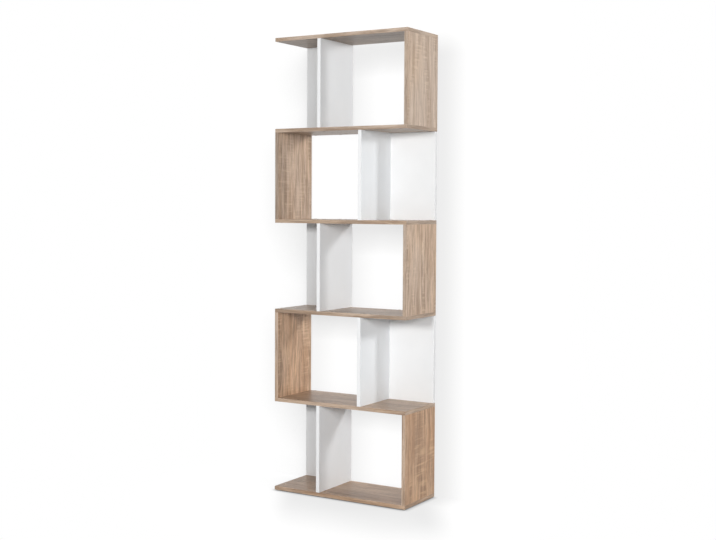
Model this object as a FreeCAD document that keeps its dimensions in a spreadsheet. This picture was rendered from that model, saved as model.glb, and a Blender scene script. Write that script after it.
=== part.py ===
import FreeCAD, Part
import os
import Sketcher

# A zigzag bookcase of faced chipboard. Six boards carry five tiers of uprights: in each tier a side panel,
# a divider and a short back panel, handed right and left in turn. Millimetres, +Z up, front towards -Y.
# The origin is on the floor, under the middle of the bottom board.

SIZES = {
    # Boards and uprights
    "width": 620,  # over the ends of a board
    "depth": 250,  # over the front and rear edges
    "bay_height": 356,  # clear height of a tier
    "open_bay": 384,  # clear width from side panel to divider
    "board_thick": 15,
    "side_thick": 15,
    "divider_thick": 15,
    "back_thick": 15,
    # Glued edge strip
    "edge_thick": 1,
    "edge_round": 0.6,
    # Connecting screws, driven through the boards into the ends of the uprights
    "screw_inset": 40,  # from the front and rear of a side panel or divider
    "screw_length": 50,
    "screw_head_diameter": 10,
    "screw_shank_diameter": 7,
    "screw_shank_length": 12,
    "screw_crest_diameter": 6.4,
    "screw_core_diameter": 4.8,
    "screw_pitch": 4,
    "screw_point_length": 5,
    "socket_flats": 4,
    "socket_depth": 3,
    # Cover caps on the screw heads
    "cap_diameter": 12,
    "cap_thick": 0.8,
    "cap_bevel": 0.4,
    "cap_stem_diameter": 3.6,
    "cap_stem_length": 2.4,
    # Dowels
    "dowel_diameter": 8,
    "dowel_length": 30,
    "dowel_seat": 9.5,  # part of the dowel that sits in the face of a board or divider
    "dowel_chamfer": 1,
    "back_dowel_inset": 90,  # from the two ends of a back panel to its dowels in the divider
    # Floor glides
    "glide_height": 3,
    "glide_diameter": 18,
    "glide_bevel": 1,
    "glide_inset": 30,  # from the edges of the bottom board
    "glide_pin_diameter": 5,
    "glide_pin_length": 10,
    # Wall brackets on the top board and their screws
    "bracket_width": 16,
    "bracket_leg": 28,
    "bracket_rise": 25,
    "bracket_thick": 2,
    "bracket_bend": 2,  # inside radius of the fold
    "bracket_round": 3,
    "bracket_hole_diameter": 4.4,
    "bracket_hole_reach": 17,  # from the rear of the bookcase
    "wall_hole_diameter": 5.5,
    "wall_hole_height": 15,  # over the top board
    "wood_screw_diameter": 4,
    "wood_screw_length": 12,
    "wood_screw_head_diameter": 7.5,
    "wood_screw_head_height": 2.4,
    "wood_screw_crown_diameter": 4.5,
    "wood_screw_point_length": 3,
    "cross_span": 3.6,
    "cross_width": 1,
    "cross_depth": 1.4,
    # Clearances
    "bore_clearance": 0.1,  # on the diameter
    "end_clearance": 1,  # beyond the end of a dowel, screw or pin
}
TIER_COUNT = 5
BACK_WIDTH_PARTS = 5  # a back panel's screws stand one part of its width in from its upright edges
COUNTERSINK_ANGLE = 90
HALF_TURN = 180
QUARTER_TURN = 90

doc = FreeCAD.newDocument("zigzag_bookcase")
sheet = doc.addObject("Spreadsheet::Sheet", "Sizes")
for row, (alias, size) in enumerate(SIZES.items(), start=1):
    sheet.set(f"A{row}", str(size))
    sheet.setAlias(f"A{row}", alias)
doc.recompute()

# Lengths and places worked out from the sizes, as expressions. Places on a board are measured from its
# front left corner, for a tier with its side panel on the right.
BACK_WIDTH = "(Sizes.width - Sizes.side_thick - Sizes.open_bay - Sizes.divider_thick)"
BACK_MIDDLE = f"({BACK_WIDTH} / 2)"
BACK_SCREW_X = f"({BACK_WIDTH} / {BACK_WIDTH_PARTS})"
SIDE_X = "(Sizes.width - Sizes.side_thick / 2)"
DIVIDER_X = f"({BACK_WIDTH} + Sizes.divider_thick / 2)"
FRONT_Y = "Sizes.screw_inset"
REAR_Y = "(Sizes.depth - Sizes.screw_inset)"
BACK_Y = "(Sizes.depth - Sizes.back_thick / 2)"
SCREWS_AT = {
    "side_panel": ((SIDE_X, FRONT_Y), (SIDE_X, REAR_Y)),
    "divider": ((DIVIDER_X, FRONT_Y), (DIVIDER_X, REAR_Y)),
    "back_panel": ((BACK_SCREW_X, BACK_Y), (f"({BACK_WIDTH} - {BACK_SCREW_X})", BACK_Y)),
}
DOWELS_AT = {
    "side_panel": ((SIDE_X, "(Sizes.depth / 2)"),),
    "divider": ((DIVIDER_X, "(Sizes.depth / 2)"),),
    "back_panel": ((BACK_MIDDLE, BACK_Y),),
}
BACK_DOWEL_LEVELS = ("Sizes.back_dowel_inset", "(Sizes.bay_height - Sizes.back_dowel_inset)")
GLIDES_AT = tuple(
    (x, y)
    for x in ("Sizes.glide_inset", "(Sizes.width - Sizes.glide_inset)")
    for y in ("Sizes.glide_inset", "(Sizes.depth - Sizes.glide_inset)")
)
BRACKETS_X = (BACK_MIDDLE, f"(Sizes.width - {BACK_MIDDLE})")
BRACKET_SCREW_Y = "(Sizes.depth - Sizes.bracket_hole_reach)"
DOWEL_BORE = "(Sizes.dowel_diameter + Sizes.bore_clearance)"
DOWEL_FACE_DEPTH = "(Sizes.dowel_seat + Sizes.end_clearance / 2)"
DOWEL_END_DEPTH = "(Sizes.dowel_length - Sizes.dowel_seat + Sizes.end_clearance / 2)"
SCREW_BORE = "(Sizes.screw_crest_diameter + Sizes.bore_clearance)"
SCREW_END_DEPTH = "(Sizes.screw_length - Sizes.board_thick + Sizes.end_clearance)"


def number(expression):
    return float(sheet.evalExpression(expression))


def hands_right(tier):
    return tier % 2 == 0


def handed(x, tier):
    return x if hands_right(tier) else f"(Sizes.width - {x})"


def board_level(board):
    return f"(Sizes.glide_height + {board} * (Sizes.bay_height + Sizes.board_thick))"


def top_of_board(board):
    return f"({board_level(board)} + Sizes.board_thick)"


def across(x):
    return f"({x} - Sizes.width / 2)"


def along(y):
    return f"({y} - Sizes.depth / 2)"


def place(item, x, y, z, axis=None, angle=0):
    """Bind an object's place to the sizes, turned by an angle about an axis."""
    if axis is not None:
        item.Placement = FreeCAD.Placement(FreeCAD.Vector(), FreeCAD.Rotation(axis, angle))
    item.setExpression("Placement.Base.x", x)
    item.setExpression("Placement.Base.y", y)
    item.setExpression("Placement.Base.z", z)


X_AXIS = FreeCAD.Vector(1, 0, 0)
Y_AXIS = FreeCAD.Vector(0, 1, 0)
Z_AXIS = FreeCAD.Vector(0, 0, 1)


def new_body(label):
    body = doc.addObject("PartDesign::Body", label)
    body.Label = label
    return body


def new_sketch(body, name, role, offset=("0", "0", "0")):
    """A sketch on one of the body's own origin planes, shifted in the sketch's own axes."""
    sketch = body.newObject("Sketcher::SketchObject", name)
    plane = next(item for item in body.Origin.OriginFeatures if item.Role == role)
    sketch.AttachmentSupport = [(plane, "")]
    sketch.MapMode = "FlatFace"
    for axis, length in zip("xyz", offset):
        sketch.setExpression(f"AttachmentOffset.Base.{axis}", length)
    return sketch


def fix_point(sketch, geometry, vertex, x, y):
    """Hold a point of the sketch at its distances from the origin, or on an axis where one is nought."""
    for kind, axis, length in (("DistanceX", -2, x), ("DistanceY", -1, y)):
        if length == "0":
            sketch.addConstraint(Sketcher.Constraint("PointOnObject", geometry, vertex, axis))
        else:
            rule = sketch.addConstraint(Sketcher.Constraint(kind, -1, 1, geometry, vertex, number(length)))
            sketch.setExpression(f"Constraints[{rule}]", length)


def draw_polygon(sketch, corners):
    points = [FreeCAD.Vector(number(x), number(y), 0) for x, y in corners]
    lines = [
        sketch.addGeometry(Part.LineSegment(start, end))
        for start, end in zip(points, points[1:] + points[:1])
    ]
    for line, following in zip(lines, lines[1:] + lines[:1]):
        sketch.addConstraint(Sketcher.Constraint("Coincident", line, 2, following, 1))
    for line, (x, y) in zip(lines, corners):
        fix_point(sketch, line, 1, x, y)


def draw_circles(sketch, centres, diameter):
    for x, y in centres:
        middle = FreeCAD.Vector(number(x), number(y), 0)
        circle = sketch.addGeometry(Part.Circle(middle, Z_AXIS, number(diameter) / 2))
        fix_point(sketch, circle, 3, x, y)
        rule = sketch.addConstraint(Sketcher.Constraint("Diameter", circle, number(diameter)))
        sketch.setExpression(f"Constraints[{rule}]", diameter)


def add_slab(body, name, size, corner=("0", "0")):
    """Pad a rectangle in the body's XY plane."""
    x, y, z = size
    sketch = new_sketch(body, f"{name}_outline", "XY_Plane", (*corner, "0"))
    draw_polygon(sketch, (("0", "0"), (x, "0"), (x, y), ("0", y)))
    slab = body.newObject("PartDesign::Pad", name)
    slab.Profile = sketch
    slab.setExpression("Length", z)
    doc.recompute()
    return slab


def add_turned(body, name, outline):
    """Turn an outline of radius and height points about the body's Z axis."""
    sketch = new_sketch(body, f"{name}_outline", "XZ_Plane")
    draw_polygon(sketch, outline)
    turned = body.newObject("PartDesign::Revolution", name)
    turned.Profile = sketch
    turned.ReferenceAxis = (sketch, ["V_Axis"])
    doc.recompute()


def add_cut(body, name, sketch, depth, reverse=False):
    cut = body.newObject("PartDesign::Pocket", name)
    cut.Profile = sketch
    cut.Reversed = reverse
    cut.setExpression("Length", depth)
    doc.recompute()


def bore(body, name, role, level, centres, diameter, depth, reverse=False):
    """Blind round bores, cut against the plane's normal, or along it if reversed."""
    sketch = new_sketch(body, f"{name}_centres", role, ("0", "0", level))
    draw_circles(sketch, centres, diameter)
    add_cut(body, name, sketch, depth, reverse)


def screw_holes(body, name, level, centres, reverse):
    """Through holes for the connecting screws, countersunk on the face where the heads sit."""
    shank_hole = "(Sizes.screw_shank_diameter + Sizes.bore_clearance)"
    sketch = new_sketch(body, f"{name}_centres", "XY_Plane", ("0", "0", level))
    draw_circles(sketch, centres, shank_hole)
    doc.recompute()
    hole = body.newObject("PartDesign::Hole", name)
    hole.Profile = sketch
    hole.ThreadType = "None"
    hole.DepthType = "ThroughAll"
    hole.Reversed = reverse
    hole.HoleCutType = "Countersink"
    hole.HoleCutCustomValues = True
    hole.HoleCutCountersinkAngle = COUNTERSINK_ANGLE
    hole.setExpression("Diameter", shank_hole)
    hole.setExpression("HoleCutDiameter", "Sizes.screw_head_diameter + Sizes.bore_clearance")
    doc.recompute()


def soften(body, base, radius, wanted):
    """Round the edges of a feature that a test picks out."""
    names = [f"Edge{count}" for count, edge in enumerate(base.Shape.Edges, start=1) if wanted(edge)]
    rounded = body.newObject("PartDesign::Fillet", f"{base.Name}_rounding")
    rounded.Base = (base, names)
    rounded.setExpression("Radius", radius)
    doc.recompute()
    return rounded


def runs_along(edge, axis):
    return abs(edge.tangentAt(edge.FirstParameter).dot(axis)) > 0.99


def group(label, master, places):
    """One node of separate solids: a copy of the master at each place."""
    copies = []
    for count, (x, y, z, axis, angle) in enumerate(places, start=1):
        copy = doc.addObject("App::Link", f"{label}_{count}")
        copy.LinkedObject = master
        place(copy, x, y, z, axis, angle)
        copies.append(copy)
    joined = doc.addObject("Part::Compound", label)
    joined.Label = label
    joined.Links = copies
    return joined


# Boards: faced chipboard, drilled for the screws and dowels of the uprights above and below them.
def board_name(board):
    if board == 0:
        return "bottom_board"
    return "top_board" if board == TIER_COUNT else f"shelf_board_{board}"


def uprights_at(table, tier):
    """Places on a board of all the fixings of one tier."""
    return [(handed(x, tier), y) for centres in table.values() for x, y in centres]


def make_board(board):
    body = new_body(board_name(board))
    core = ("Sizes.width - 2 * Sizes.edge_thick", "Sizes.depth - 2 * Sizes.edge_thick", "Sizes.board_thick")
    add_slab(body, f"{body.Name}_core", core, ("Sizes.edge_thick", "Sizes.edge_thick"))
    if board < TIER_COUNT:
        screw_holes(body, f"{body.Name}_screws_up", "0",
                    uprights_at(SCREWS_AT, board), True)
        bore(body, f"{body.Name}_dowels_up", "XY_Plane", "Sizes.board_thick",
             uprights_at(DOWELS_AT, board), DOWEL_BORE, DOWEL_FACE_DEPTH)
    if board > 0:
        screw_holes(body, f"{body.Name}_screws_down", "Sizes.board_thick",
                    uprights_at(SCREWS_AT, board - 1), False)
        bore(body, f"{body.Name}_dowels_down", "XY_Plane", "0",
             uprights_at(DOWELS_AT, board - 1), DOWEL_BORE, DOWEL_FACE_DEPTH, True)
    if board == 0:
        bore(body, "glide_pin_bores", "XY_Plane", "0", GLIDES_AT,
             "Sizes.glide_pin_diameter + Sizes.bore_clearance",
             "Sizes.glide_pin_length + Sizes.end_clearance", True)
    if board == TIER_COUNT:
        bore(body, "wood_screw_bores", "XY_Plane", "Sizes.board_thick",
             [(x, BRACKET_SCREW_Y) for x in BRACKETS_X],
             "Sizes.wood_screw_diameter + Sizes.bore_clearance",
             "Sizes.wood_screw_length - Sizes.bracket_thick + Sizes.end_clearance")
    place(body, across("0"), along("0"), board_level(board))
    return body


# Uprights: each stands between two boards, on its own front left corner when the tier hands right. The same
# piece is turned over about the front to back line when the tier hands left.
def place_upright(body, x, y, tier):
    if hands_right(tier):
        place(body, x, y, top_of_board(tier))
    else:
        place(body, f"-{x}", y, board_level(tier + 1), Y_AXIS, HALF_TURN)


def bore_ends(body, screws, dowels):
    """Bores for screws and dowels in the lower and upper end of an upright."""
    for end, level, reverse in (("lower", "0", True), ("upper", "Sizes.bay_height", False)):
        bore(body, f"{body.Name}_{end}_screws", "XY_Plane", level,
             screws, SCREW_BORE, SCREW_END_DEPTH, reverse)
        bore(body, f"{body.Name}_{end}_dowels", "XY_Plane", level,
             dowels, DOWEL_BORE, DOWEL_END_DEPTH, reverse)


def make_deep_upright(label, kind, thick):
    """A side panel or divider, as deep as the boards, less the edge strips at its front and rear."""
    body = new_body(label)
    size = (thick, "Sizes.depth - 2 * Sizes.edge_thick", "Sizes.bay_height")
    add_slab(body, f"{label}_core", size, ("0", "Sizes.edge_thick"))
    middle = f"({thick} / 2)"
    screws = [(middle, y) for x, y in SCREWS_AT[kind]]
    dowels = [(middle, y) for x, y in DOWELS_AT[kind]]
    bore_ends(body, screws, dowels)
    return body


def make_side_panel(tier):
    body = make_deep_upright(f"side_panel_{tier + 1}", "side_panel", "Sizes.side_thick")
    place_upright(body, "(Sizes.width / 2 - Sizes.side_thick)", along("0"), tier)
    return body


def make_divider(tier):
    body = make_deep_upright(f"divider_{tier + 1}", "divider", "Sizes.divider_thick")
    bore(body, f"{body.Name}_back_dowels", "YZ_Plane", "0",
         [(BACK_Y, level) for level in BACK_DOWEL_LEVELS], DOWEL_BORE, DOWEL_FACE_DEPTH, True)
    place_upright(body, across(BACK_WIDTH), along("0"), tier)
    return body


def make_back_panel(tier):
    """A panel from the open end of the tier to the divider, with an edge strip at its open end."""
    body = new_body(f"back_panel_{tier + 1}")
    size = (f"{BACK_WIDTH} - Sizes.edge_thick", "Sizes.back_thick", "Sizes.bay_height")
    add_slab(body, f"{body.Name}_core", size, ("Sizes.edge_thick", "0"))
    middle = "(Sizes.back_thick / 2)"
    screws = [(x, middle) for x, y in SCREWS_AT["back_panel"]]
    dowels = [(x, middle) for x, y in DOWELS_AT["back_panel"]]
    bore_ends(body, screws, dowels)
    bore(body, f"{body.Name}_divider_dowels", "YZ_Plane", BACK_WIDTH,
         [(middle, level) for level in BACK_DOWEL_LEVELS], DOWEL_BORE, DOWEL_END_DEPTH)
    place_upright(body, across("0"), along("Sizes.depth - Sizes.back_thick"), tier)
    return body


# Edge strips: thin plastic, glued to the cut edges, with the outer edges rounded. A strip is drawn with
# its outer face to the front.
EDGE_RADIUS = "min(Sizes.edge_round; 0.9 * Sizes.edge_thick)"


def make_strip(label, length, height, rounded_axes):
    body = new_body(label)
    slab = add_slab(body, f"{label}_core", (length, "Sizes.edge_thick", height))
    soften(body, slab, EDGE_RADIUS, lambda edge: edge.BoundBox.YMax < number("Sizes.edge_thick") / 2
           and any(runs_along(edge, axis) for axis in rounded_axes))
    return body


END_LENGTH = "(Sizes.depth - 2 * Sizes.edge_thick)"
board_strip = make_strip("board_strip", "Sizes.width", "Sizes.board_thick", (X_AXIS, Z_AXIS))
board_end_strip = make_strip("board_end_strip", END_LENGTH, "Sizes.board_thick", (X_AXIS,))
upright_strips = {
    "side_panel": make_strip("side_panel_strip", "Sizes.side_thick", "Sizes.bay_height", (Z_AXIS,)),
    "divider": make_strip("divider_strip", "Sizes.divider_thick", "Sizes.bay_height", (Z_AXIS,)),
    "back_panel": make_strip("back_panel_strip", "Sizes.back_thick", "Sizes.bay_height", (Z_AXIS,)),
}


def make_board_edging(board):
    label = f"{board_name(board)}_edging"
    level = board_level(board)
    left, right = across("0"), across("Sizes.width")
    front, rear = along("0"), along("Sizes.depth")
    long_strips = group(f"{label}_long", board_strip, (
        (left, front, level, Z_AXIS, 0),
        (right, rear, level, Z_AXIS, HALF_TURN),
    ))
    end_strips = group(f"{label}_ends", board_end_strip, (
        (left, f"({rear} - Sizes.edge_thick)", level, Z_AXIS, -QUARTER_TURN),
        (right, f"({front} + Sizes.edge_thick)", level, Z_AXIS, QUARTER_TURN),
    ))
    joined = doc.addObject("Part::Compound", label)
    joined.Label = label
    joined.Links = [long_strips, end_strips]
    return joined


def make_deep_upright_edging(kind, tier, left, thick):
    """Strips on the front and rear edge of a side panel or divider."""
    left = left if hands_right(tier) else f"(Sizes.width - {left} - {thick})"
    level = top_of_board(tier)
    return group(f"{kind}_{tier + 1}_edging", upright_strips[kind], (
        (across(left), along("0"), level, Z_AXIS, 0),
        (across(f"({left} + {thick})"), along("Sizes.depth"), level, Z_AXIS, HALF_TURN),
    ))


def make_side_edging(tier):
    return make_deep_upright_edging("side_panel", tier, "(Sizes.width - Sizes.side_thick)", "Sizes.side_thick")


def make_divider_edging(tier):
    return make_deep_upright_edging("divider", tier, BACK_WIDTH, "Sizes.divider_thick")


def make_back_edging(tier):
    """The strip on the open end of a back panel."""
    level = top_of_board(tier)
    if hands_right(tier):
        strip_place = (across("0"), along("Sizes.depth"), level, Z_AXIS, -QUARTER_TURN)
    else:
        front = along("Sizes.depth - Sizes.back_thick")
        strip_place = (across("Sizes.width"), front, level, Z_AXIS, QUARTER_TURN)
    return group(f"back_panel_{tier + 1}_edging", upright_strips["back_panel"], (strip_place,))


# Connecting screws: zinc-plated steel, a countersunk head with a hexagon socket, a plain shank and a coarse
# thread. A screw is drawn point down, with the top of its head at its length.
def make_screw():
    body = new_body("connecting_screw")
    core, crest = "(Sizes.screw_core_diameter / 2)", "(Sizes.screw_crest_diameter / 2)"
    shank, head = "(Sizes.screw_shank_diameter / 2)", "(Sizes.screw_head_diameter / 2)"
    shank_foot = "(Sizes.screw_length - Sizes.screw_shank_length)"
    turns = int(number(f"({shank_foot} - Sizes.screw_point_length) / Sizes.screw_pitch"))
    outline = [("0", "0")]
    for turn in range(turns):
        root = f"(Sizes.screw_point_length + {turn} * Sizes.screw_pitch)"
        outline.append((core, root))
        outline.append((crest, f"({root} + Sizes.screw_pitch / 2)"))
    outline += [
        (core, f"(Sizes.screw_point_length + {turns} * Sizes.screw_pitch)"),
        (shank, shank_foot),
        (shank, f"(Sizes.screw_length - {head} + {shank})"),
        (head, "Sizes.screw_length"),
        ("0", "Sizes.screw_length"),
    ]
    add_turned(body, "screw_turning", outline)
    radius = "(Sizes.socket_flats / sqrt(3))"
    flats = "Sizes.socket_flats"
    corner = (f"-{radius}", f"-{flats} / 2", "Sizes.screw_length")
    sketch = new_sketch(body, "screw_socket_outline", "XY_Plane", corner)
    draw_polygon(sketch, (
        ("0", f"({flats} / 2)"),
        (f"({radius} / 2)", "0"),
        (f"(3 * {radius} / 2)", "0"),
        (f"(2 * {radius})", f"({flats} / 2)"),
        (f"(3 * {radius} / 2)", flats),
        (f"({radius} / 2)", flats),
    ))
    add_cut(body, "screw_socket", sketch, "Sizes.socket_depth")
    return body


def screw_heads(kind, with_bottom=True):
    """The screw heads of one kind of upright: x, y, face of the board, and whether the screw points up."""
    for tier in range(TIER_COUNT):
        for x, y in SCREWS_AT[kind]:
            yield across(handed(x, tier)), along(y), top_of_board(tier + 1), False
            if with_bottom or tier > 0:
                yield across(handed(x, tier)), along(y), board_level(tier), True


def make_screws(kind, screw):
    places = [
        (x, y, f"({face} + Sizes.screw_length)", X_AXIS, HALF_TURN) if points_up
        else (x, y, f"({face} - Sizes.screw_length)", X_AXIS, 0)
        for x, y, face, points_up in screw_heads(kind)
    ]
    return group(f"{kind}_screws", screw, places)


# Cover caps: oak-coloured plastic, pressed into the sockets of the screws. The heads under the bottom board
# have none. A cap is drawn stem down, with its stem's end at nought.
def make_cap():
    body = new_body("screw_cap")
    stem, edge = "(Sizes.cap_stem_diameter / 2)", "(Sizes.cap_diameter / 2)"
    top = "(Sizes.cap_stem_length + Sizes.cap_thick)"
    add_turned(body, "cap_turning", (
        ("0", "0"),
        (stem, "0"),
        (stem, "Sizes.cap_stem_length"),
        (edge, "Sizes.cap_stem_length"),
        (edge, f"({top} - Sizes.cap_bevel)"),
        (f"({edge} - Sizes.cap_bevel)", top),
        ("0", top),
    ))
    return body


def make_caps(kind, cap):
    places = [
        (x, y, f"({face} + Sizes.cap_stem_length)", X_AXIS, HALF_TURN) if points_up
        else (x, y, f"({face} - Sizes.cap_stem_length)", X_AXIS, 0)
        for x, y, face, points_up in screw_heads(kind, with_bottom=False)
    ]
    return group(f"{kind}_screw_caps", cap, places)


# Dowels: beech, with chamfered ends. A dowel is drawn with the end that goes into a board at nought.
def make_dowel():
    body = new_body("dowel")
    radius, chamfer = "(Sizes.dowel_diameter / 2)", "Sizes.dowel_chamfer"
    add_turned(body, "dowel_turning", (
        ("0", "0"),
        (f"({radius} - {chamfer})", "0"),
        (radius, chamfer),
        (radius, f"(Sizes.dowel_length - {chamfer})"),
        (f"({radius} - {chamfer})", "Sizes.dowel_length"),
        ("0", "Sizes.dowel_length"),
    ))
    return body


def make_dowels(kind, dowel):
    places = []
    for tier in range(TIER_COUNT):
        for x, y in DOWELS_AT[kind]:
            x_place = across(handed(x, tier))
            lower = f"({top_of_board(tier)} - Sizes.dowel_seat)"
            upper = f"({board_level(tier + 1)} + Sizes.dowel_seat)"
            places.append((x_place, along(y), lower, X_AXIS, 0))
            places.append((x_place, along(y), upper, X_AXIS, HALF_TURN))
    return group(f"{kind}_dowels", dowel, places)


def make_back_to_divider_dowels(dowel):
    places = []
    for tier in range(TIER_COUNT):
        x = across(handed(f"({BACK_WIDTH} + Sizes.dowel_seat)", tier))
        angle = -QUARTER_TURN if hands_right(tier) else QUARTER_TURN
        for level in BACK_DOWEL_LEVELS:
            places.append((x, along(BACK_Y), f"({top_of_board(tier)} + {level})", Y_AXIS, angle))
    return group("back_to_divider_dowels", dowel, places)


# Floor glides: plastic discs under the bottom board, each with a pin pressed into a bore.
def make_glide():
    body = new_body("glide")
    pin, edge = "(Sizes.glide_pin_diameter / 2)", "(Sizes.glide_diameter / 2)"
    top = "(Sizes.glide_height + Sizes.glide_pin_length)"
    add_turned(body, "glide_turning", (
        ("0", "0"),
        (f"({edge} - Sizes.glide_bevel)", "0"),
        (edge, "Sizes.glide_bevel"),
        (edge, "Sizes.glide_height"),
        (pin, "Sizes.glide_height"),
        (pin, top),
        ("0", top),
    ))
    return body


def make_glides():
    return group("floor_glides", make_glide(), [(across(x), along(y), "0", Z_AXIS, 0) for x, y in GLIDES_AT])


# Wall brackets: folded steel angles on the top board, flush with its rear, one screw down into the board and
# one hole for a screw into the wall. A bracket is drawn from its left side, its rear at its leg's length.
def make_bracket():
    body = new_body("bracket")
    leg, rise, thick = "Sizes.bracket_leg", "Sizes.bracket_rise", "Sizes.bracket_thick"
    sketch = new_sketch(body, "bracket_outline", "YZ_Plane")
    draw_polygon(sketch, (
        ("0", "0"),
        (leg, "0"),
        (leg, rise),
        (f"({leg} - {thick})", rise),
        (f"({leg} - {thick})", thick),
        ("0", thick),
    ))
    angle = body.newObject("PartDesign::Pad", "bracket_angle")
    angle.Profile = sketch
    angle.setExpression("Length", "Sizes.bracket_width")
    doc.recompute()
    leg_length, rise_height, sheet_thick = number(leg), number(rise), number(thick)
    slack = sheet_thick / 4

    def at_fold(edge, y, z):
        box = edge.BoundBox
        return runs_along(edge, X_AXIS) and abs(box.YMin - y) + abs(box.ZMin - z) < slack

    def at_corner(edge):
        box = edge.BoundBox
        at_tip = box.YMax < slack or box.ZMin > rise_height - slack
        return at_tip and not runs_along(edge, X_AXIS)

    inner = soften(body, angle, "Sizes.bracket_bend",
                   lambda edge: at_fold(edge, leg_length - sheet_thick, sheet_thick))
    outer = soften(body, inner, "Sizes.bracket_bend + Sizes.bracket_thick",
                   lambda edge: at_fold(edge, leg_length, 0))
    soften(body, outer, "Sizes.bracket_round", at_corner)
    middle = "(Sizes.bracket_width / 2)"
    bore(body, "bracket_screw_hole", "XY_Plane", thick, ((middle, f"({leg} - Sizes.bracket_hole_reach)"),),
         "Sizes.bracket_hole_diameter", thick)
    bore(body, "bracket_wall_hole", "XZ_Plane", f"-{leg}", ((middle, "Sizes.wall_hole_height"),),
         "Sizes.wall_hole_diameter", thick, True)
    return body


def make_brackets():
    rear = along("Sizes.depth - Sizes.bracket_leg")
    level = top_of_board(TIER_COUNT)
    return group("wall_brackets", make_bracket(), [
        (across(f"({x} - Sizes.bracket_width / 2)"), rear, level, Z_AXIS, 0) for x in BRACKETS_X
    ])


# Bracket screws: pan-headed steel wood screws with a cross recess, drawn point down.
def make_wood_screw():
    body = new_body("wood_screw")
    shank, head = "(Sizes.wood_screw_diameter / 2)", "(Sizes.wood_screw_head_diameter / 2)"
    crown = "(Sizes.wood_screw_crown_diameter / 2)"
    under_head = "Sizes.wood_screw_length"
    top = "(Sizes.wood_screw_length + Sizes.wood_screw_head_height)"
    add_turned(body, "wood_screw_turning", (
        ("0", "0"),
        (shank, "Sizes.wood_screw_point_length"),
        (shank, under_head),
        (head, under_head),
        (head, f"({under_head} + Sizes.wood_screw_head_height / 2)"),
        (crown, top),
        ("0", top),
    ))
    span, arm = "Sizes.cross_span", "Sizes.cross_width"
    near, far = f"(({span} - {arm}) / 2)", f"(({span} + {arm}) / 2)"
    sketch = new_sketch(body, "cross_outline", "XY_Plane", (f"-{span} / 2", f"-{span} / 2", top))
    draw_polygon(sketch, (
        (near, "0"), (far, "0"), (far, near), (span, near), (span, far), (far, far),
        (far, span), (near, span), (near, far), ("0", far), ("0", near), (near, near),
    ))
    add_cut(body, "cross_recess", sketch, "Sizes.cross_depth")
    return body


def make_wood_screws():
    level = f"({top_of_board(TIER_COUNT)} + Sizes.bracket_thick - Sizes.wood_screw_length)"
    return group("bracket_screws", make_wood_screw(), [
        (across(x), along(BRACKET_SCREW_Y), level, Z_AXIS, 0) for x in BRACKETS_X
    ])


nodes = []
for board in range(TIER_COUNT + 1):
    nodes.append(make_board(board))
    nodes.append(make_board_edging(board))
for tier in range(TIER_COUNT):
    nodes.append(make_side_panel(tier))
    nodes.append(make_side_edging(tier))
    nodes.append(make_divider(tier))
    nodes.append(make_divider_edging(tier))
    nodes.append(make_back_panel(tier))
    nodes.append(make_back_edging(tier))
connecting_screw = make_screw()
screw_cap = make_cap()
dowel = make_dowel()
for kind in SCREWS_AT:
    nodes.append(make_screws(kind, connecting_screw))
    nodes.append(make_caps(kind, screw_cap))
    nodes.append(make_dowels(kind, dowel))
nodes.append(make_back_to_divider_dowels(dowel))
nodes.append(make_glides())
nodes.append(make_brackets())
nodes.append(make_wood_screws())
doc.recompute()

# Nothing is written unless every object is sound and every cut has removed something.
for item in doc.Objects:
    if "Invalid" in item.State or "Error" in item.State:
        raise RuntimeError(f"{item.Label} failed: {item.State}")
    if item.TypeId in ("PartDesign::Pocket", "PartDesign::Hole"):
        if item.BaseFeature.Shape.Volume - item.Shape.Volume < number("Sizes.bore_clearance"):
            raise RuntimeError(f"{item.Label} cuts nothing")
for node in nodes:
    if node.Shape.isNull() or not node.Shape.isValid():
        raise RuntimeError(f"{node.Label} has no sound shape")

os.makedirs("parts", exist_ok=True)
for node in nodes:
    node.Shape.exportStep(f"parts/{node.Label}.step")
print(f"{len(nodes)} nodes, {sum(len(node.Shape.Solids) for node in nodes)} solids")
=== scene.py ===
import math

import bpy
from mathutils import Matrix, Vector


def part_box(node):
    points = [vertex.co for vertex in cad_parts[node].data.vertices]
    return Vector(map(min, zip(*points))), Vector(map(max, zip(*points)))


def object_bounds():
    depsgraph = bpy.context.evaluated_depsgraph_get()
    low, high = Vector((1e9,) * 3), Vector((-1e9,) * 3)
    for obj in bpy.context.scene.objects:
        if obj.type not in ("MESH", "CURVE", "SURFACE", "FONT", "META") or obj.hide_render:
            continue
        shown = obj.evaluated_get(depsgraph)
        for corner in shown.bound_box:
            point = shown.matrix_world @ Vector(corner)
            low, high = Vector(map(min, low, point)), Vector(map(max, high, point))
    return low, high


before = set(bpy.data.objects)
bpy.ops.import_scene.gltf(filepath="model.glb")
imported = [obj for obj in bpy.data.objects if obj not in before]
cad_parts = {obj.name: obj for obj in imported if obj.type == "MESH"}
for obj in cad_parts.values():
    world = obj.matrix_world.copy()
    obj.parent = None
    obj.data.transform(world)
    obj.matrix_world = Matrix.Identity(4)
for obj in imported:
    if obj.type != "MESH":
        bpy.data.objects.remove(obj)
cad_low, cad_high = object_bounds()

# The six boards: 15 mm chipboard faced with melamine that is printed as a pale grey-brown sawn oak,
# its grain along the board. Each board is cut to size, edged, and screwed to the uprights.
BOARDS = ("bottom_board", "shelf_board_1", "shelf_board_2", "shelf_board_3", "shelf_board_4", "top_board")
GREY_OAK = {
    "Pale": (0.65, 0.54, 0.45, 1), "Brown": (0.46, 0.355, 0.275, 1),
    "Vein": (0.21, 0.145, 0.10, 1), "Gold": (0.74, 0.61, 0.48, 1)}
WARM_OAK = {
    "Pale": (0.62, 0.405, 0.255, 1), "Brown": (0.43, 0.245, 0.135, 1),
    "Vein": (0.15, 0.074, 0.036, 1), "Gold": (0.74, 0.49, 0.285, 1)}
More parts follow.
